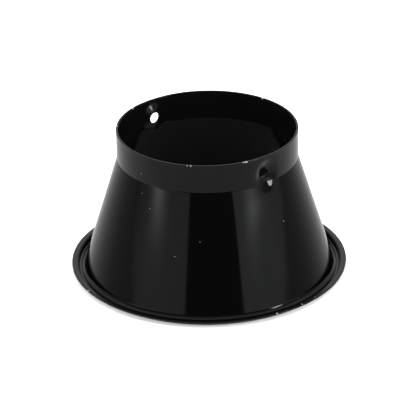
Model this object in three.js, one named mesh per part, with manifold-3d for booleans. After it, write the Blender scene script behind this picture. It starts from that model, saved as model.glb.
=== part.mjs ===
// A short studio-light snoot in black sheet steel: a stepped mount ring, a spun cone whose foot flange lies
// in it, and a short outlet collar with two screw holes, each at the bottom of a pressed dimple.
// Millimetres, +Z up. The origin is the centre of the underside, and the screw holes lie along X.

import * as THREE from 'three';
import { mergeVertices } from 'three/addons/utils/BufferGeometryUtils.js';
import Module from 'manifold-3d';

const wasm = await Module();
wasm.setup();

// Driving dimensions
const FLANGE_RADIUS = 50;
const HEIGHT = 54.5;
const SHEET = 0.8;
const RING_SHEET = 0.7;
const JOINT_GAP = 0.1;

// Mount ring: a flat seat, and a flat lip one step up
const LIP_TOP = 2.3;
const LIP_INNER_RADIUS = 47.7;
const SEAT_OUTER_RADIUS = 47.35;
const SEAT_INNER_RADIUS = 43.5;
const INNER_BEND = 0.25;
const OUTER_BEND = 0.7;

// Cone: a straight flank, bent outwards at the bottom into a narrow foot flange
const CONE_ANGLE = THREE.MathUtils.degToRad(17);
const NECK_RADIUS = 32.3;
const FOOT_RADIUS = 46.5;
const FOOT_INNER_BEND = 0.5;
const FOOT_OUTER_BEND = 0.9;

// Outlet collar
const COLLAR_HEIGHT = 10.4;
const COLLAR_RADIUS = 32.6;
const RIM_FLARE = 0.1;
const RIM_FLARE_HEIGHT = 1.2;

// Screw holes and their dimples
const HOLE_RADIUS = 2.05;
const HOLE_HEIGHT = 47.8;
const DIMPLE_SPHERE = 10;
const DIMPLE_DEPTH = 1.6;

// Facets
const AROUND = 72;
const BALL_AROUND = 56;
const HOLE_AROUND = 24;
const BEND_STEPS = 3;

const creaseHeight = HEIGHT - COLLAR_HEIGHT;
const neckTop = creaseHeight - JOINT_GAP / 2;
const collarBottom = creaseHeight + JOINT_GAP / 2;
const footTop = RING_SHEET + JOINT_GAP + SHEET;

// Materials

function glossBlackPaint() {
  return new THREE.MeshStandardMaterial({ color: 0x0a0a0b, roughness: 0.22, metalness: 0 });
}

function satinBlackPaint() {
  return new THREE.MeshStandardMaterial({ color: 0x0c0c0d, roughness: 0.35, metalness: 0 });
}

// Outlines. Each is a list of (radius, height) points, counter-clockwise round the metal.

// A line through corners. Each corner but the first and last is replaced by a small curve, with its own reach.
function bentLine(corners, reaches) {
  const points = [corners[0]];
  reaches.forEach((reach, i) => {
    const corner = corners[i + 1];
    const start = corner.clone().add(corners[i].clone().sub(corner).setLength(reach));
    const end = corner.clone().add(corners[i + 2].clone().sub(corner).setLength(reach));
    points.push(...new THREE.QuadraticBezierCurve(start, corner, end).getPoints(BEND_STEPS));
  });
  points.push(corners[corners.length - 1]);
  return points;
}

function leftNormal(from, to) {
  const along = to.clone().sub(from).normalize();
  return new THREE.Vector2(-along.y, along.x);
}

// The same corners for the other face of the sheet, to the left of the line's direction.
function offsetCorners(corners, thickness) {
  const last = corners.length - 1;
  return corners.map((corner, i) => {
    const before = leftNormal(corners[Math.max(i - 1, 0)], corners[Math.max(i, 1)]);
    const after = leftNormal(corners[Math.min(i, last - 1)], corners[Math.min(i + 1, last)]);
    const mitre = thickness / (1 + before.dot(after));
    return corner.clone().add(before.add(after).multiplyScalar(mitre));
  });
}

function ringOutline() {
  const corners = [
    new THREE.Vector2(FLANGE_RADIUS, LIP_TOP),
    new THREE.Vector2(LIP_INNER_RADIUS, LIP_TOP),
    new THREE.Vector2(SEAT_OUTER_RADIUS, RING_SHEET),
    new THREE.Vector2(SEAT_INNER_RADIUS, RING_SHEET),
  ];
  const top = bentLine(corners, [OUTER_BEND, INNER_BEND]);
  const under = bentLine(offsetCorners(corners, RING_SHEET), [INNER_BEND, OUTER_BEND]);
  return [...top, ...under.reverse()];
}

// The ends of the cone's outer flank, at the foot flange and at the neck.
function coneFlank() {
  const footRadius = NECK_RADIUS + (neckTop - footTop) * Math.tan(CONE_ANGLE);
  return [new THREE.Vector2(footRadius, footTop), new THREE.Vector2(NECK_RADIUS, neckTop)];
}

function coneOutline() {
  const [foot, neck] = coneFlank();
  const corners = [new THREE.Vector2(FOOT_RADIUS, footTop), foot, neck];
  const innerCorners = offsetCorners(corners, SHEET);
  innerCorners[2] = new THREE.Vector2(NECK_RADIUS - SHEET / Math.cos(CONE_ANGLE), neckTop);
  const outside = bentLine(corners, [FOOT_INNER_BEND]);
  const inside = bentLine(innerCorners, [FOOT_OUTER_BEND]);
  return [...outside, ...inside.reverse()];
}

function collarOutline() {
  const inner = COLLAR_RADIUS - SHEET;
  return [
    new THREE.Vector2(inner, collarBottom),
    new THREE.Vector2(COLLAR_RADIUS, collarBottom),
    new THREE.Vector2(COLLAR_RADIUS, HEIGHT - RIM_FLARE_HEIGHT),
    new THREE.Vector2(COLLAR_RADIUS + RIM_FLARE, HEIGHT),
    new THREE.Vector2(inner + RIM_FLARE, HEIGHT),
    new THREE.Vector2(inner, HEIGHT - RIM_FLARE_HEIGHT),
  ];
}

// Solids

function closed(geometry) {
  geometry.deleteAttribute('normal');
  geometry.deleteAttribute('uv');
  return mergeVertices(geometry, 1e-5);
}

// An outline turned about Z. Counter-clockwise outlines come out facing outwards.
function revolve(outline) {
  const geometry = new THREE.LatheGeometry([...outline, outline[0]], AROUND);
  return closed(geometry.rotateX(Math.PI / 2));
}

function toSolid(geometry) {
  return new wasm.Manifold(new wasm.Mesh({
    numProp: 3,
    vertProperties: geometry.getAttribute('position').array,
    triVerts: new Uint32Array(geometry.getIndex().array),
  }));
}

function toGeometry(solid) {
  const mesh = solid.getMesh();
  const geometry = new THREE.BufferGeometry();
  geometry.setAttribute('position', new THREE.BufferAttribute(mesh.vertProperties, 3));
  geometry.setIndex(new THREE.BufferAttribute(mesh.triVerts, 1));
  return geometry;
}

function ball(radius, x) {
  const geometry = new THREE.SphereGeometry(radius, BALL_AROUND, BALL_AROUND / 2);
  return toSolid(closed(geometry.rotateX(Math.PI / 2).translate(x, 0, HOLE_HEIGHT)));
}

function screwHoles() {
  const length = 3 * COLLAR_RADIUS;
  const geometry = new THREE.CylinderGeometry(HOLE_RADIUS, HOLE_RADIUS, length, HOLE_AROUND);
  return toSolid(closed(geometry.rotateZ(Math.PI / 2).translate(0, 0, HOLE_HEIGHT)));
}

// Presses the two dimples into a wall. The core is the wall's outer shape, filled in.
function pressDimples(wall, core) {
  const centre = COLLAR_RADIUS - DIMPLE_DEPTH + DIMPLE_SPHERE;
  return [centre, -centre].reduce((solid, x) => {
    const bulge = ball(DIMPLE_SPHERE + SHEET, x).intersect(core);
    return solid.add(bulge).subtract(ball(DIMPLE_SPHERE, x));
  }, wall);
}

function mountRing() {
  return revolve(ringOutline());
}

function coneShell() {
  const [foot, neck] = coneFlank();
  const core = new THREE.LatheGeometry([
    new THREE.Vector2(0, foot.y), foot, neck, new THREE.Vector2(0, neck.y),
  ], AROUND);
  const wall = toSolid(revolve(coneOutline()));
  return toGeometry(pressDimples(wall, toSolid(closed(core.rotateX(Math.PI / 2)))));
}

function outletCollar() {
  const core = new THREE.CylinderGeometry(COLLAR_RADIUS, COLLAR_RADIUS, COLLAR_HEIGHT - JOINT_GAP / 2, AROUND);
  core.rotateX(Math.PI / 2).translate(0, 0, (collarBottom + HEIGHT) / 2);
  const wall = toSolid(revolve(collarOutline()));
  return toGeometry(pressDimples(wall, toSolid(closed(core))).subtract(screwHoles()));
}

// Assembly

const snoot = new THREE.Group();

function addPiece(name, geometry, material) {
  const mesh = new THREE.Mesh(geometry, material);
  mesh.name = name;
  snoot.add(mesh);
}

addPiece('mount_ring', mountRing(), satinBlackPaint());
addPiece('cone_shell', coneShell(), glossBlackPaint());
addPiece('outlet_collar', outletCollar(), satinBlackPaint());

export default snoot;
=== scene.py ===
"""A short black sheet-metal snoot on a pale table: its looks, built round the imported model."""

import math

import bmesh
import bpy
import numpy as np
from mathutils import Matrix, Vector


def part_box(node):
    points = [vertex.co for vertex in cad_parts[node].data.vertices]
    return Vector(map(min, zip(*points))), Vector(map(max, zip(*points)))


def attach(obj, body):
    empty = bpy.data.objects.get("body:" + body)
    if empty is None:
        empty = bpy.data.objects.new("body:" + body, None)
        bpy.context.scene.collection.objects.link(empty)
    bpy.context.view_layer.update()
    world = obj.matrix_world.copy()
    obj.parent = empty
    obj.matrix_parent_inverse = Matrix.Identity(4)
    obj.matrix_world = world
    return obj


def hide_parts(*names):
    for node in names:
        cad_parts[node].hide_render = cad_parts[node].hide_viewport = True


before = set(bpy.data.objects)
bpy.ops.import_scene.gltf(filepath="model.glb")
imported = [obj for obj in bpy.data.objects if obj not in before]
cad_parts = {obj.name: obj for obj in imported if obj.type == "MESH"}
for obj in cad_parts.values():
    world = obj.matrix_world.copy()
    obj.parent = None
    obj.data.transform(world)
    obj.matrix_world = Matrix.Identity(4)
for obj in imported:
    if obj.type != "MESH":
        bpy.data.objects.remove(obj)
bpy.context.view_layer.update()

MM = 0.001

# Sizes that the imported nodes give
LIP_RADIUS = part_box("mount_ring")[1][0]
LIP_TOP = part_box("mount_ring")[1][2]
FOOT_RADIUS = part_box("cone_shell")[1][0]
NECK_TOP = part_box("cone_shell")[1][2]
FOOT_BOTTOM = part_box("cone_shell")[0][2]
RIM_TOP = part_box("outlet_collar")[1][2]
COLLAR_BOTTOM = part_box("outlet_collar")[0][2]
RIM_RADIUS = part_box("outlet_collar")[1][0]

# Sheet metal
SHEET = 0.8 * MM
RING_SHEET = 0.7 * MM
EDGE_ROUND = 0.22 * MM
JOINT_ROUND = 0.12 * MM
SEALED_ROUND = 0.02 * MM

# Mount ring
LIP_INNER = 47.7 * MM
SEAT_OUTER = 47.35 * MM
SEAT_INNER = 43.5 * MM
RING_INNER_BEND = 0.25 * MM
RING_OUTER_BEND = 0.8 * MM

# Cone
CONE_ANGLE = math.radians(17)
NECK_RADIUS = 32.3 * MM
FOOT_CREST = 45.66 * MM
FOOT_HEEL = 45.48 * MM
FOOT_DROP = 0.45 * MM
FOOT_SOFTNESS = 3 * MM
FLARE_HEIGHT = 2.1 * MM
FOOT_OUTER_BEND = 1.6 * MM
FLANK_STEP = 0.6 * MM

# Collar, screw holes and dimples
COLLAR_RADIUS = 32.6 * MM
RIM_FLARE_HEIGHT = 1.2 * MM
HOLE_RADIUS = 2.05 * MM
HOLE_HEIGHT = 47.8 * MM
HOLE_ROUND = 0.06 * MM
DIMPLE_SPHERE = 10 * MM
DIMPLE_DEPTH = 1.6 * MM
DIMPLE_SHOULDER = 0.4 * MM
NEAR_SHIFT = (0.6 * MM, -0.4 * MM)
DENT_DEPTH = 0.3 * MM
DENT_REACH = 9 * MM
DENT_SPAN = 0.5  # the cosine of the angle round Z where the dent ends

# Mesh fineness
CORNER_STEPS = 6
CORNER_SHARE = 0.45  # of a side's length, which a rounded corner may take up at most
HOLE_PATCH = 3.3 * MM
PATCH_STEPS = 12
PATCH_RINGS = 8
HALF_TURN_STEPS = 150
ROWS_ABOVE_PATCH = 11
RIM_STEPS = 6
EDGE_STEPS = 4

# Camera, seen from the near screw hole's side
VIEW_AZIMUTH = 51
VIEW_PITCH = 26.2
VIEW_ROLL = -0.9
VIEW_DISTANCE = 1046.4 * MM
VIEW_LENS = 247.6
VIEW_TARGET = (0.6 * MM, 21.5 * MM)  # to the right of the axis, and above the table

# Paint
PAINT_COLOUR = (0.0003, 0.0003, 0.00032, 1)
INNER_COLOUR = (0.0016, 0.0016, 0.0017, 1)
METAL_COLOUR = (0.62, 0.6, 0.57, 1)
PAINT_IOR = 1.3
OUTER_SHINE = 0.5
CONE_INNER_SHINE = 0.18
COLLAR_INNER_SHINE = 0.5
METAL_ROUGHNESS = 0.38
RING_ROUGHNESS = 0.16
CONE_ROUGHNESS = 0.08
COLLAR_ROUGHNESS = 0.16
PEEL_SIZE = 1.4 * MM
PEEL_HEIGHT = 0.0012 * MM
WAVE_SIZE = 14 * MM
WAVE_HEIGHT = 0.012 * MM
HAZE_SIZE = 14 * MM
HAZE_RANGE = (0.8, 1.25)  # in shares of the paint's roughness
GRAIN_SIZE = 0.5 * MM
GRAIN_NOISE = (0.2, 0.8)  # the noise's values that give the ends of the grain's range
GRAIN_RANGE = (-0.015, 0.015)
MAIN_NOISE = (0.3, 0.7)  # where most of the noise's values lie
PAINT_THICKNESS = 0.04 * MM
CHIP_EDGE_SIZE = 0.35 * MM
CHIP_EDGE_RANGE = (0.35, 1.35)  # in chip sizes
FAR_FROM_CHIPS = 9.0  # in chip sizes
INSIDE_FADE = (-4 * MM, -12 * MM)  # of a point's distance from the origin, measured along its normal

# Studio, with brightness as radiance. Azimuths run to the right from the camera's, in degrees.
FLOOR_HALF = 0.3
FLOOR_COLOUR = (0.86, 0.86, 0.86)
FLOOR_ROUGHNESS = 0.6
FLOOR_LEVEL = -0.1 * MM
FLOOR_NEAR = 54 * MM
FLOOR_NEAR_SIDES = 72
FLOOR_NEAR_LEVEL = -0.05 * MM
BACKDROP = 1.05
SOFTBOX_DISTANCE = 0.9
SOFTBOX_TOP = 0.22
SOFTBOX_OUTER = 92
SOFTBOX_FADE = 66
HOT_REACH = (0.16, 0.025)
FILL_AZIMUTHS = (0, 60, 120, 180, 240, 300)
FILL_HEIGHT = 0.32
FILL_SIZE = (1, 0.6)
FILL_RADIANCE = 7.4
TOP_HEIGHT = 0.9
TOP_SIZE = (0.9, 0.9)
TOP_RADIANCE = 1.5
KEY_AZIMUTH = 62
KEY_HEIGHT = 0.38
KEY_SIZE = (0.16, 0.32)
KEY_RADIANCE = 21

# The mirrored room, as (place, radiance) pairs from the camera's side at 0 to the far side at 1. The table's
# fade and the two blends are ranges of a direction's upward part, from -1 straight down to 1 straight up.
ROOM_LIGHT = ((0, 0.1), (0.3, 0.14), (0.5, 0.4), (0.7, 0.45), (1, 1.1))
TABLE_LIGHT = (0.35, 0.95)
TABLE_FADE = (-0.1, -0.42)
HORIZON_BLEND = (-0.03, 0.03)
CEILING_LIGHT = 1.0
CEILING_BLEND = (0.55, 0.8)


# Outlines: lists of (radius, height), counter-clockwise round the metal

def rounded(corners, radii):
    """The closed outline through corners, with each corner turned on a curve of about its radius."""
    points = []
    count = len(corners)
    for i, (corner, radius) in enumerate(zip(corners, radii)):
        here = Vector(corner)
        back = Vector(corners[i - 1]) - here
        ahead = Vector(corners[(i + 1) % count]) - here
        half = back.angle(ahead) / 2
        reach = min(radius / math.tan(half), back.length * CORNER_SHARE, ahead.length * CORNER_SHARE)
        start = here + back.normalized() * reach
        end = here + ahead.normalized() * reach
        for k in range(CORNER_STEPS + 1):
            t = k / CORNER_STEPS
            points.append(start.lerp(here, t).lerp(here.lerp(end, t), t))
    return points


def divided(outline, step):
    """The same closed outline with points added, so that they lie about a step apart at most."""
    points = []
    for here, ahead in zip(outline, outline[1:] + outline[:1]):
        count = max(1, round((ahead - here).length / step))
        points += [here.lerp(ahead, k / count) for k in range(count)]
    return points


def arc(centre, radius, start, end, steps):
    """Points on an arc, by angle from the outward radius."""
    angles = np.linspace(start, end, steps + 1)
    return [Vector((centre[0] + radius * math.cos(a), centre[1] + radius * math.sin(a))) for a in angles]


def ring_outline():
    """The stepped ring: a lip, a slanted step down and a flat seat, in one sheet."""
    rise = LIP_TOP - RING_SHEET
    slope = (LIP_INNER - SEAT_OUTER) / rise
    shift = RING_SHEET * (math.hypot(1, slope) - slope)
    top = [(LIP_RADIUS, LIP_TOP), (LIP_INNER, LIP_TOP), (SEAT_OUTER, RING_SHEET), (SEAT_INNER, RING_SHEET)]
    under = [(SEAT_INNER, 0), (SEAT_OUTER + shift, 0), (LIP_INNER + shift, rise), (LIP_RADIUS, rise)]
    radii = [EDGE_ROUND, RING_OUTER_BEND, RING_INNER_BEND, EDGE_ROUND]
    return divided(rounded(top + under, radii + radii), FLANK_STEP)


def flank_radius(z):
    """The cone's outer radius at a height on its straight flank."""
    return NECK_RADIUS + (NECK_TOP - z) * math.tan(CONE_ANGLE)


def cone_outline():
    """The cone's sheet: a narrow foot flange with a rounded edge, a short flare and a straight flank."""
    foot_top = FOOT_BOTTOM + SHEET
    lean = SHEET / math.cos(CONE_ANGLE)
    neck = (NECK_TOP + COLLAR_BOTTOM) / 2
    corners = [
        (FOOT_RADIUS, foot_top - FOOT_DROP), (FOOT_CREST, foot_top), (FOOT_HEEL, foot_top),
        (flank_radius(FLARE_HEIGHT), FLARE_HEIGHT), (flank_radius(neck), neck),
        (flank_radius(neck) - lean, neck), (flank_radius(FOOT_BOTTOM) - lean, FOOT_BOTTOM),
        (FOOT_RADIUS, FOOT_BOTTOM),
    ]
    radii = [EDGE_ROUND] + 3 * [FOOT_SOFTNESS] + [JOINT_ROUND, SEALED_ROUND, FOOT_OUTER_BEND, EDGE_ROUND]
    return divided(rounded(corners, radii), FLANK_STEP)


# Surfaces

def collar_radius(z):
    """The collar's outer radius at a height: straight, with a slight flare at the rim."""
    rise = np.clip((z - (RIM_TOP - RIM_FLARE_HEIGHT)) / RIM_FLARE_HEIGHT, 0, 1)
    return COLLAR_RADIUS + (RIM_RADIUS - COLLAR_RADIUS) * rise ** 2


def press(angle, z, wall):
    """How far the two dimples push in a wall of that outer radius: a ball's dish in a faint broad dent.

    The near one sits a little to the side of its hole and below it, as in the photograph."""
    near = np.cos(angle) > 0
    x = wall * abs(np.cos(angle))
    y = wall * np.sin(angle) - near * NEAR_SHIFT[0]
    up = z - HOLE_HEIGHT - near * NEAR_SHIFT[1]
    centre = COLLAR_RADIUS - DIMPLE_DEPTH + DIMPLE_SPHERE
    depth = DIMPLE_SPHERE - np.sqrt((centre - x) ** 2 + y ** 2 + up ** 2)
    dish = (depth + np.sqrt(depth ** 2 + DIMPLE_SHOULDER ** 2)) / 2
    dent = DENT_DEPTH * np.exp(-(y / DENT_REACH) ** 2 - (up / DENT_REACH) ** 2) * (x > DENT_SPAN * wall)
    return dish + dent


def placed(angle, radius, z):
    """Points at an angle round Z, a radius and a height."""
    axes = np.broadcast_arrays(radius * np.cos(angle), radius * np.sin(angle), z)
    return np.stack(axes, axis=-1)


def collar_points(angle, depth, z):
    """Points on the dimpled collar, at a depth below its outer surface."""
    wall = collar_radius(z)
    return placed(angle, wall - depth - press(angle, z, wall), z)


# Meshes

def turn_angles():
    """Angles round Z, close together at the two screw holes on the X axis."""
    half = HOLE_PATCH / COLLAR_RADIUS
    angles = []
    for side in (0, math.pi):
        angles += list(side + np.linspace(-half, half, PATCH_STEPS + 1))
        angles += list(side + np.linspace(half, math.pi - half, HALF_TURN_STEPS + 1)[1:-1])
    return np.array(angles)


def grid_faces(columns, rows, kept=None):
    """Quads of a grid that closes on itself both ways, numbered column by column."""
    faces = []
    for i in range(columns):
        for j in range(rows):
            if kept is None or kept(i, j):
                across, up = (i + 1) % columns, (j + 1) % rows
                faces.append((i * rows + j, across * rows + j, across * rows + up, i * rows + up))
    return faces


def band_faces(first, second):
    """Quads between two closed loops of vertex numbers."""
    faces = []
    for k in range(len(first)):
        ahead = (k + 1) % len(first)
        faces.append((first[k], first[ahead], second[ahead], second[k]))
    return faces


def add_piece(name, points, faces, material, slot):
    """A smooth mesh piece that stands for the CAD node of the same place, with its normals outwards."""
    mesh = bpy.data.meshes.new(name)
    mesh.from_pydata([tuple(p) for p in points], [], faces)
    builder = bmesh.new()
    builder.from_mesh(mesh)
    bmesh.ops.recalc_face_normals(builder, faces=builder.faces)
    builder.to_mesh(mesh)
    builder.free()
    mesh.polygons.foreach_set("use_smooth", [True] * len(mesh.polygons))
    mesh.materials.append(material)
    piece = bpy.data.objects.new(name, mesh)
    bpy.context.scene.collection.objects.link(piece)
    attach(piece, "root")
    return piece


def turned(outline, pressed=None):
    """Points and faces of a (radius, height) outline turned about Z."""
    angles = turn_angles()
    radii = np.array([p[0] for p in outline])
    heights = np.array([p[1] for p in outline])
    angle, radius = np.meshgrid(angles, radii, indexing="ij")
    if pressed is not None:
        radius = radius - pressed(angle, heights)
    return placed(angle, radius, heights).reshape(-1, 3), grid_faces(len(angles), len(outline))


def collar_section():
    """The collar's section as (depth, height) points, and the rows beside a hole, outside and inside."""
    beside = list(np.linspace(HOLE_HEIGHT - HOLE_PATCH, HOLE_HEIGHT + HOLE_PATCH, PATCH_STEPS + 1))
    top, joint = RIM_TOP - EDGE_ROUND, (NECK_TOP + COLLAR_BOTTOM) / 2
    bottom, sealed = joint + JOINT_ROUND, joint + SEALED_ROUND
    heights = beside + list(np.linspace(beside[-1], top, ROWS_ABOVE_PATCH + 1)[1:])
    outside = [(0, z) for z in [bottom] + heights[:-1]]
    rim = arc((-EDGE_ROUND, top), EDGE_ROUND, 0, math.pi / 2, RIM_STEPS)
    rim += arc((EDGE_ROUND - SHEET, top), EDGE_ROUND, math.pi / 2, math.pi, RIM_STEPS)
    inside = [(-SHEET, z) for z in heights[-2::-1]]
    foot = arc((SEALED_ROUND - SHEET, sealed), SEALED_ROUND, math.pi, 1.5 * math.pi, EDGE_STEPS)
    foot += arc((-JOINT_ROUND, bottom), JOINT_ROUND, -math.pi / 2, 0, EDGE_STEPS)[:-1]
    section = [(-p[0], p[1]) for p in outside + rim + inside + foot]
    outer_rows = list(range(1, PATCH_STEPS + 2))
    inner_rows = [len(outside) + len(rim) + len(heights) - 1 - row for row in outer_rows]
    return section, outer_rows, inner_rows


def patch_border(first_column, rows, row_count):
    """Vertex numbers round a hole's square patch, counter-clockwise seen from outside."""
    columns = list(range(first_column, first_column + PATCH_STEPS + 1))
    loop = [(c, rows[0]) for c in columns[:-1]]
    loop += [(columns[-1], r) for r in rows[:-1]]
    loop += [(c, rows[-1]) for c in columns[:0:-1]]
    loop += [(columns[0], r) for r in rows[:0:-1]]
    return [c * row_count + r for c, r in loop]


def hole_loops(side):
    """Loops of points from the outer square patch, through a screw hole, to the inner one.

    The first and last loops aren't listed: they are the grid's own."""
    run = np.arange(PATCH_STEPS) / PATCH_STEPS * 2 - 1
    edge = np.ones(PATCH_STEPS)
    square_y = HOLE_PATCH * np.concatenate([run, edge, -run, -edge])
    square_z = HOLE_PATCH * np.concatenate([-edge, run, edge, -run])
    turn = np.arctan2(square_z, square_y)
    loops = []

    def loop(depth, wall, y, z):
        loops.append(collar_points(side + y / wall, depth, HOLE_HEIGHT + z))

    def ring(depth, wall, radius):
        loop(depth, wall, radius * np.cos(turn), radius * np.sin(turn))

    outer, inner = COLLAR_RADIUS - DIMPLE_DEPTH, COLLAR_RADIUS - DIMPLE_DEPTH - SHEET
    lip = HOLE_RADIUS + HOLE_ROUND
    blends = [k / PATCH_RINGS for k in range(1, PATCH_RINGS)]

    def spread(depth, wall, t):
        y = (1 - t) * square_y * wall / COLLAR_RADIUS + t * lip * np.cos(turn)
        z = (1 - t) * square_z + t * lip * np.sin(turn)
        loop(depth, wall, y, z)

    for t in blends:
        spread(0, outer, t)
    for angle in np.linspace(0, math.pi / 2, EDGE_STEPS + 1):
        ring(HOLE_ROUND * (1 - math.cos(angle)), outer, lip - HOLE_ROUND * math.sin(angle))
    for angle in np.linspace(math.pi / 2, 0, EDGE_STEPS + 1):
        ring(SHEET - HOLE_ROUND * (1 - math.cos(angle)), inner, lip - HOLE_ROUND * math.sin(angle))
    for t in blends[::-1]:
        spread(SHEET, inner, t)
    return loops


def collar_mesh():
    """The collar's points and faces: a turned section with a round hole let into each dimple."""
    section, outer_rows, inner_rows = collar_section()
    angles = turn_angles()
    depths = np.array([p[0] for p in section])
    heights = np.array([p[1] for p in section])
    angle, depth = np.meshgrid(angles, depths, indexing="ij")
    points = list(collar_points(angle, depth, heights).reshape(-1, 3))
    row_count = len(section)
    starts = (0, PATCH_STEPS + HALF_TURN_STEPS)
    cut_columns = {start + k for start in starts for k in range(PATCH_STEPS)}
    cut_rows = set(outer_rows[:-1]) | set(inner_rows[1:])
    faces = grid_faces(len(angles), row_count, lambda i, j: not (i in cut_columns and j in cut_rows))
    for side, start in zip((0, math.pi), starts):
        before = patch_border(start, outer_rows, row_count)
        for ring in hole_loops(side):
            after = list(range(len(points), len(points) + len(ring)))
            points += list(ring)
            faces += band_faces(before, after)
            before = after
        faces += band_faces(before, patch_border(start, inner_rows, row_count))
    return points, faces


# Materials

def feed(tree, socket, value):
    """Links a socket to an input, or sets the input to a value."""
    if isinstance(value, bpy.types.NodeSocket):
        tree.links.new(value, socket)
    else:
        socket.default_value = value


def math_node(tree, operation, first, second=0.0):
    """The result of a maths node on two values or sockets."""
    node = tree.nodes.new("ShaderNodeMath")
    node.operation = operation
    feed(tree, node.inputs[0], first)
    feed(tree, node.inputs[1], second)
    return node.outputs[0]


def vector_node(tree, operation, first, second=(0, 0, 0), result="Vector"):
    """A result, Vector or Value, of a vector maths node on two vectors or sockets."""
    node = tree.nodes.new("ShaderNodeVectorMath")
    node.operation = operation
    feed(tree, node.inputs[0], first)
    feed(tree, node.inputs[1], second)
    return node.outputs[result]


def noise(tree, position, size, detail=2.0):
    """Noise from 0 to 1 with features of about a size in metres."""
    node = tree.nodes.new("ShaderNodeTexNoise")
    node.inputs["Scale"].default_value = 1 / size
    node.inputs["Detail"].default_value = detail
    feed(tree, node.inputs["Vector"], position)
    return node.outputs["Fac"]


def remap(tree, value, low, high, new_low, new_high):
    """A value moved from one range to another, and held inside it."""
    node = tree.nodes.new("ShaderNodeMapRange")
    for name, number in zip(("From Min", "From Max", "To Min", "To Max"), (low, high, new_low, new_high)):
        node.inputs[name].default_value = number
    feed(tree, node.inputs["Value"], value)
    return node.outputs["Result"]


def chip_mask(tree, position, chips):
    """1 inside ragged spots round the given points, 0 elsewhere."""
    nearest = FAR_FROM_CHIPS
    for point, size in chips:
        away = vector_node(tree, "DISTANCE", position, point, "Value")
        nearest = math_node(tree, "MINIMUM", math_node(tree, "DIVIDE", away, size), nearest)
    ragged = remap(tree, noise(tree, position, CHIP_EDGE_SIZE, 1), *MAIN_NOISE, *CHIP_EDGE_RANGE)
    return math_node(tree, "LESS_THAN", nearest, ragged)


def facing_in(tree, position):
    """1 on the faces that look inwards at the axis, 0 on the others."""
    normal = tree.nodes.new("ShaderNodeNewGeometry").outputs["Normal"]
    outward = vector_node(tree, "DOT_PRODUCT", position, normal, "Value")
    return remap(tree, outward, *INSIDE_FADE, 0, 1)


def mixed(tree, factor, first, second):
    """A colour mixed from two, each a value or a socket."""
    node = tree.nodes.new("ShaderNodeMix")
    node.data_type = "RGBA"
    feed(tree, node.inputs["Factor"], factor)
    feed(tree, node.inputs["A"], first)
    feed(tree, node.inputs["B"], second)
    return node.outputs["Result"]


def paint_height(tree, position, chipped):
    """The paint's height in millimetres: orange peel, slow waves and the step down into a chip."""
    peel = math_node(tree, "MULTIPLY", noise(tree, position, PEEL_SIZE, 1), PEEL_HEIGHT / MM)
    wave = math_node(tree, "MULTIPLY", noise(tree, position, WAVE_SIZE, 0), WAVE_HEIGHT / MM)
    step = math_node(tree, "MULTIPLY", chipped, -PAINT_THICKNESS / MM)
    return math_node(tree, "ADD", math_node(tree, "ADD", peel, wave), step)


def paint_roughness(tree, position, chipped, roughness):
    """Uneven gloss with a fine grain, and duller bare metal."""
    haze_range = [roughness * share for share in HAZE_RANGE]
    haze = remap(tree, noise(tree, position, HAZE_SIZE, 3), *MAIN_NOISE, *haze_range)
    grain = remap(tree, noise(tree, position, GRAIN_SIZE, 1), *GRAIN_NOISE, *GRAIN_RANGE)
    metal = math_node(tree, "MULTIPLY", chipped, METAL_ROUGHNESS)
    return math_node(tree, "MAXIMUM", math_node(tree, "ADD", haze, grain), metal)


def black_paint(name, roughness, inner_shine, chips):
    """Baked black enamel over steel, with chips down to the metal and a greyer, duller inside."""
    material = bpy.data.materials.new(name)
    material.use_nodes = True
    tree = material.node_tree
    shader = tree.nodes["Principled BSDF"]
    shader.inputs["IOR"].default_value = PAINT_IOR
    position = tree.nodes.new("ShaderNodeTexCoord").outputs["Object"]
    inside = facing_in(tree, position)
    chipped = chip_mask(tree, position, chips)
    paint = mixed(tree, inside, PAINT_COLOUR, INNER_COLOUR)
    feed(tree, shader.inputs["Base Color"], mixed(tree, chipped, paint, METAL_COLOUR))
    feed(tree, shader.inputs["Metallic"], chipped)
    feed(tree, shader.inputs["Specular IOR Level"], remap(tree, inside, 0, 1, OUTER_SHINE, inner_shine))
    feed(tree, shader.inputs["Roughness"], paint_roughness(tree, position, chipped, roughness))
    bump = tree.nodes.new("ShaderNodeBump")
    bump.inputs["Strength"].default_value = 1.0
    bump.inputs["Distance"].default_value = MM
    feed(tree, bump.inputs["Height"], paint_height(tree, position, chipped))
    feed(tree, shader.inputs["Normal"], bump.outputs["Normal"])
    return material


def spot(angle, radius, height, size):
    """A chip at an angle in degrees round Z, with its radius, height and size in millimetres."""
    turn = math.radians(angle)
    return ((radius * MM * math.cos(turn), radius * MM * math.sin(turn), height * MM), size * MM)


def plain(name, colour, roughness):
    """A plain matte material for the floor."""
    material = bpy.data.materials.new(name)
    material.use_nodes = True
    shader = material.node_tree.nodes["Principled BSDF"]
    shader.inputs["Base Color"].default_value = (*colour, 1)
    shader.inputs["Roughness"].default_value = roughness
    return material


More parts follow.
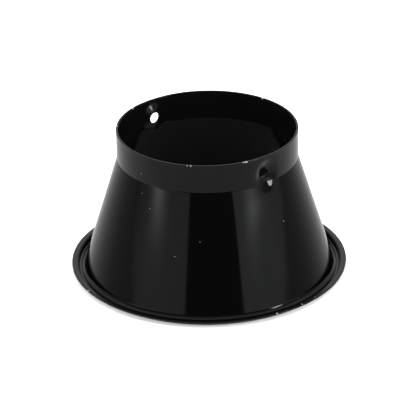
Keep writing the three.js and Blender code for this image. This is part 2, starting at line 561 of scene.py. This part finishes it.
# Chips, found on the photographed side and made up behind
RING_CHIPS = [spot(-99.4, 49.7, 2.1, 0.5), spot(-42.2, 47.9, 2.1, 0.35)]
RING_CHIPS += [spot(-10.7, 49.8, 2.1, 0.35), spot(2, 49.6, 2.2, 0.4), spot(10.2, 49.5, 2.2, 0.3)]
RING_CHIPS += [spot(96, 49.7, 2.2, 0.4), spot(151, 49.8, 2.1, 0.5)]
CONE_CHIPS = [spot(-57.2 + 0.5 * k, 39.2, 21.7 + 0.12 * k, 0.14) for k in range(5)]
CONE_CHIPS += [spot(-43.7, 37.45, 27.4, 0.2), spot(-75.4, 34.75, 36.1, 0.2), spot(-82.9, 33.5, 40.3, 0.2)]
CONE_CHIPS += [spot(7.1, 36.85, 29.3, 0.2), spot(128, 35, 35.2, 0.3), spot(165, 38.3, 24.6, 0.25)]
COLLAR_CHIPS = [spot(-17 + 0.6 * k, 32.4, 54.4, 0.15 + 0.05 * k) for k in range(6)]
COLLAR_CHIPS += [spot(-51.6, 32.5, 54.4, 0.3), spot(-49.4, 32.5, 54.4, 0.3)]
COLLAR_CHIPS += [spot(-162.3, 32.2, 54.4, 0.5), spot(-133, 32.3, 54.4, 0.4), spot(101.3, 32.3, 54.4, 0.5)]
COLLAR_CHIPS += [spot(-84.8, 32.6, 47.2, 0.18), spot(140, 32.6, 50.1, 0.25)]


# The object

def make_snoot():
    """The three pieces, each in place of its CAD node."""
    ring_paint = black_paint("ring_paint", RING_ROUGHNESS, CONE_INNER_SHINE, RING_CHIPS)
    cone_paint = black_paint("cone_paint", CONE_ROUGHNESS, CONE_INNER_SHINE, CONE_CHIPS)
    collar_paint = black_paint("collar_paint", COLLAR_ROUGHNESS, COLLAR_INNER_SHINE, COLLAR_CHIPS)
    ring = add_piece("mount_ring_skin", *turned(ring_outline()), ring_paint, "ring_paint")
    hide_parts("mount_ring")

    def neck_press(angle, z):
        return press(angle, z, flank_radius(z))

    cone = add_piece("cone_skin", *turned(cone_outline(), neck_press), cone_paint, "cone_paint")
    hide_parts("cone_shell")
    collar = add_piece("collar_skin", *collar_mesh(), collar_paint, "collar_paint")
    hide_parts("outlet_collar")


# The studio

def toward(azimuth):
    """The level direction from the object at an azimuth to the right of the camera's, in degrees."""
    turn = math.radians(VIEW_AZIMUTH + azimuth)
    return Vector((math.sin(turn), -math.cos(turn), 0))


def soft_spot(tree, position, place, reach):
    """1 at a place on a panel, fading to 0 over about a reach to each side."""
    away = vector_node(tree, "SUBTRACT", position, (*place, 0))
    scaled = vector_node(tree, "DIVIDE", away, (*reach, 1))
    length = vector_node(tree, "LENGTH", scaled, result="Value")
    square = math_node(tree, "MULTIPLY", length, length)
    return math_node(tree, "EXPONENT", math_node(tree, "MULTIPLY", square, -1))


def glow_material(name, base, hot, hot_place, fade, tint):
    """Emission with one hot spot, which dims towards one side.

    Places are in the panel's own coordinates. The fade is where it begins, where it ends and what is left."""
    material = bpy.data.materials.new(name)
    material.use_nodes = True
    tree = material.node_tree
    tree.nodes.clear()
    position = tree.nodes.new("ShaderNodeTexCoord").outputs["Object"]
    across = tree.nodes.new("ShaderNodeSeparateXYZ")
    feed(tree, across.inputs[0], position)
    spot_light = math_node(tree, "MULTIPLY", soft_spot(tree, position, hot_place, HOT_REACH), hot)
    share = remap(tree, across.outputs["X"], fade[0], fade[1], 1, fade[2])
    strength = math_node(tree, "MULTIPLY", math_node(tree, "ADD", spot_light, base), share)
    glow = tree.nodes.new("ShaderNodeEmission")
    glow.inputs["Color"].default_value = (*tint, 1)
    feed(tree, glow.inputs["Strength"], strength)
    output = tree.nodes.new("ShaderNodeOutputMaterial")
    feed(tree, output.inputs["Surface"], glow.outputs[0])
    return material


def flat_object(name, points, material):
    """A flat object: one face through its points."""
    mesh = bpy.data.meshes.new(name)
    mesh.from_pydata(points, [], [tuple(range(len(points)))])
    mesh.materials.append(material)
    flat = bpy.data.objects.new(name, mesh)
    bpy.context.scene.collection.objects.link(flat)
    return flat


def add_softbox(name, inner, hot_place, base, hot, outer_share, tint):
    """An upright glowing panel with a crisp inner edge. It mirrors in the paint, but the camera misses it.

    The hot place is an azimuth and a height."""
    sign = math.copysign(1, inner)
    middle = (inner + sign * SOFTBOX_OUTER) / 2

    def across(azimuth):
        return SOFTBOX_DISTANCE * math.tan(math.radians(middle - azimuth))

    left, right = sorted((across(inner), across(sign * SOFTBOX_OUTER)))
    fade = (across(sign * SOFTBOX_FADE), across(sign * SOFTBOX_OUTER), outer_share)
    spot_place = (across(hot_place[0]), hot_place[1])
    corners = [(left, 0, 0), (right, 0, 0), (right, SOFTBOX_TOP, 0), (left, SOFTBOX_TOP, 0)]
    panel = flat_object(name, corners, glow_material(name, base, hot, spot_place, fade, tint))
    out = toward(middle)
    side = Vector((0, 0, 1)).cross(-out)
    axes = Matrix((side, Vector((0, 0, 1)), -out)).transposed().to_4x4()
    panel.matrix_world = Matrix.Translation(out * SOFTBOX_DISTANCE) @ axes
    panel.visible_camera = False


def add_floor(name, points, height):
    """A matte white face at a height."""
    floor = flat_object(name, points, plain(name + "_white", FLOOR_COLOUR, FLOOR_ROUGHNESS))
    floor.location = (0, 0, height)
    return floor


def make_floor():
    """A wide white table. Only the part near the object mirrors in it; the world stands in for the rest."""
    h = FLOOR_HALF
    wide = add_floor("floor", [(-h, -h, 0), (h, -h, 0), (h, h, 0), (-h, h, 0)], FLOOR_LEVEL)
    wide.visible_glossy = False
    turns = [math.radians(360 / FLOOR_NEAR_SIDES * k) for k in range(FLOOR_NEAR_SIDES)]
    circle = [(FLOOR_NEAR * math.cos(t), FLOOR_NEAR * math.sin(t), 0) for t in turns]
    add_floor("floor_near", circle, FLOOR_NEAR_LEVEL)


def background(tree, strength, colour=(1, 1, 1, 1)):
    """Light from the world. Its strength and its colour are each a value or a socket."""
    node = tree.nodes.new("ShaderNodeBackground")
    feed(tree, node.inputs["Color"], colour)
    feed(tree, node.inputs["Strength"], strength)
    return node.outputs[0]


def blended(tree, factor, first, second):
    """Two shaders blended by a factor from 0 to 1."""
    node = tree.nodes.new("ShaderNodeMixShader")
    for socket, source in zip(node.inputs, (factor, first, second)):
        feed(tree, socket, source)
    return node.outputs[0]


def room_light(tree, share):
    """The room's brightness, from the camera's side at a share of 0 to the far side at 1."""
    ramp = tree.nodes.new("ShaderNodeValToRGB")
    stops = ramp.color_ramp.elements
    for place, value in ROOM_LIGHT[1:-1]:
        stops.new(place)
    for stop, (place, value) in zip(stops, ROOM_LIGHT):
        stop.position = place
        stop.color = (value, value, value, 1)
    feed(tree, ramp.inputs["Fac"], share)
    return ramp.outputs["Color"]


def make_room(tree, direction):
    """What the paint mirrors: a table that dims with distance, a room brighter at the back, and a ceiling."""
    behind = vector_node(tree, "DOT_PRODUCT", direction, -toward(0), "Value")
    up = vector_node(tree, "DOT_PRODUCT", direction, (0, 0, 1), "Value")
    room = background(tree, 1, room_light(tree, remap(tree, behind, -1, 1, 0, 1)))
    table = background(tree, remap(tree, up, *TABLE_FADE, *TABLE_LIGHT))
    ceiling = background(tree, CEILING_LIGHT)
    above = blended(tree, remap(tree, up, *CEILING_BLEND, 0, 1), room, ceiling)
    return blended(tree, remap(tree, up, *HORIZON_BLEND, 0, 1), table, above)


def make_world():
    """A white backdrop for the camera, and the room for everything else."""
    world = bpy.data.worlds.new("studio")
    bpy.context.scene.world = world
    world.use_nodes = True
    tree = world.node_tree
    tree.nodes.clear()
    room = make_room(tree, tree.nodes.new("ShaderNodeTexCoord").outputs["Generated"])
    seen = tree.nodes.new("ShaderNodeLightPath").outputs["Is Camera Ray"]
    output = tree.nodes.new("ShaderNodeOutputWorld")
    feed(tree, output.inputs["Surface"], blended(tree, seen, room, background(tree, BACKDROP)))


def add_area_light(name, place, size, radiance, mirrored):
    """An oval area light that points at the object, given by its radiance."""
    light = bpy.data.lights.new(name, "AREA")
    light.shape = "ELLIPSE"
    light.size, light.size_y = size
    light.energy = radiance * math.pi ** 2 * size[0] * size[1] / 4
    lamp = bpy.data.objects.new(name, light)
    lamp.location = place
    lamp.rotation_euler = (-Vector(place)).to_track_quat("-Z", "Y").to_euler()
    lamp.visible_camera = False
    lamp.visible_glossy = mirrored
    bpy.context.scene.collection.objects.link(lamp)


def add_fill_lights():
    """A ring of low, wide lights that whiten the table up to the flange and don't mirror in the paint."""
    for k, azimuth in enumerate(FILL_AZIMUTHS):
        place = toward(azimuth) + Vector((0, 0, FILL_HEIGHT))
        add_area_light("fill_light_%d" % k, place, FILL_SIZE, FILL_RADIANCE, mirrored=False)


def make_lights():
    """Two softboxes for the bands on the flank, a key light for the near dimple, and light for the table."""
    add_softbox("softbox_left", inner=-21.5, hot_place=(-62, 0.105), base=0.85, hot=2.9,
                outer_share=0.3, tint=(0.97, 0.96, 1))
    add_softbox("softbox_right", inner=29.5, hot_place=(52, 0.12), base=1.0, hot=2.2,
                outer_share=0.6, tint=(0.96, 1, 0.98))
    add_area_light("top_light", (0, 0, TOP_HEIGHT), TOP_SIZE, TOP_RADIANCE, mirrored=False)
    key_place = toward(KEY_AZIMUTH) * SOFTBOX_DISTANCE + Vector((0, 0, KEY_HEIGHT))
    add_area_light("key_light", key_place, KEY_SIZE, KEY_RADIANCE, mirrored=True)
    add_fill_lights()


def make_camera():
    """The photograph's view, with a long lens and a slight roll."""
    pitch, roll = math.radians(VIEW_PITCH), math.radians(VIEW_ROLL)
    level = -toward(0)
    ahead = level * math.cos(pitch) - Vector((0, 0, math.sin(pitch)))
    right = ahead.cross(Vector((0, 0, 1))).normalized()
    up = right.cross(ahead)
    camera = bpy.data.cameras.new("camera")
    camera.lens = VIEW_LENS
    camera.sensor_width = 36
    camera.clip_start = 0.05
    camera.clip_end = 20
    eye = bpy.data.objects.new("camera", camera)
    target = right * VIEW_TARGET[0] + Vector((0, 0, VIEW_TARGET[1]))
    turned_right = right * math.cos(roll) + up * math.sin(roll)
    turned_up = up * math.cos(roll) - right * math.sin(roll)
    axes = Matrix((turned_right, turned_up, -ahead)).transposed().to_4x4()
    eye.matrix_world = Matrix.Translation(target - ahead * VIEW_DISTANCE) @ axes
    bpy.context.scene.collection.objects.link(eye)
    bpy.context.scene.camera = eye


make_snoot()
make_floor()
make_world()
make_lights()
make_camera()
bpy.context.scene.view_settings.view_transform = "Standard"
